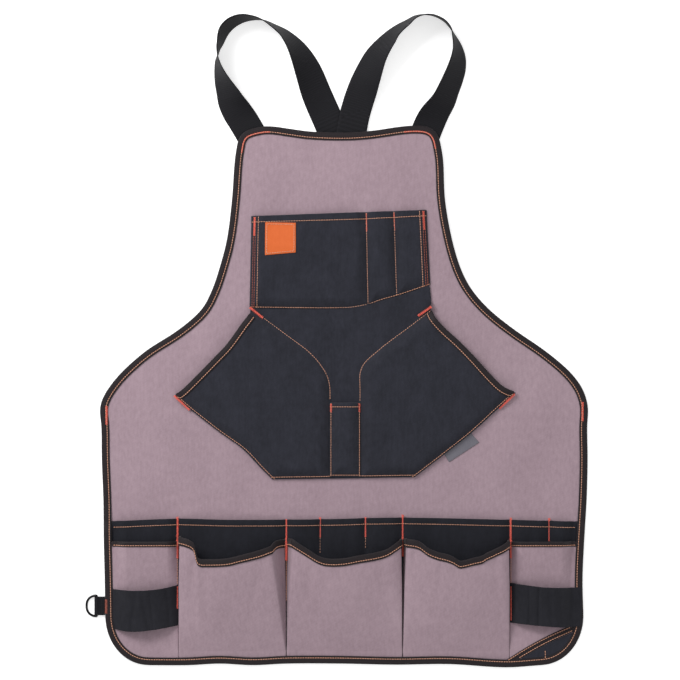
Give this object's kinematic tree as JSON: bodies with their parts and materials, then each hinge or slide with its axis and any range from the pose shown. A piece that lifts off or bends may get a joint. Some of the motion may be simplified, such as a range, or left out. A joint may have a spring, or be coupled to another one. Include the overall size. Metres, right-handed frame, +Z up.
{
  "type": "tool_apron",
  "caption": "Bib tool apron in grey canvas with black pockets and binding, lying flat, its two shoulder strap loops standing on edge above the bib",
  "frame": {"origin": "under the middle of the apron's bounding box, on the surface it lies on", "axes": "+X towards the right edge as seen from the front, +Y from the hem to the bib and the strap loops, +Z up, out of the apron's front"},
  "size_m": [0.6281, 0.8162, 0.0385],
  "materials": {
    "canvas": "matte mauve-grey cotton canvas",
    "black_cloth": "matte black canvas",
    "tape": "matte black binding tape",
    "webbing": "black twill webbing with a slight sheen",
    "label": "orange woven cloth label, bare",
    "tag": "grey woven cloth tag, bare",
    "ring": "black enamelled steel wire",
    "thread": "muted orange sewing thread",
    "tack": "coral bartack thread"
  },
  "bodies": {
    "root": {"body_panel": "canvas", "edge_binding": "tape", "strap_left": "webbing", "strap_right": "webbing", "chest_pocket": "black_cloth", "hand_pocket": "black_cloth", "hand_binding_left": "tape", "hand_binding_right": "tape", "pen_pocket": "black_cloth", "front_label": "label", "side_tag": "tag", "back_layer_left": "black_cloth", "back_layer_middle": "black_cloth", "back_layer_right": "black_cloth", "side_pocket_left": "canvas", "side_pocket_right": "canvas", "side_binding_left": "tape", "side_binding_right": "tape", "pocket_left": "canvas", "pocket_middle": "canvas", "pocket_right": "canvas", "binding_left": "tape", "binding_middle": "tape", "binding_right": "tape", "hammer_loop_left": "black_cloth", "hammer_loop_right": "black_cloth", "corner_tape": "tape", "corner_patch": "black_cloth", "d_ring": "ring", "d_ring_tab": "webbing"}
  },
  "joints": []
}
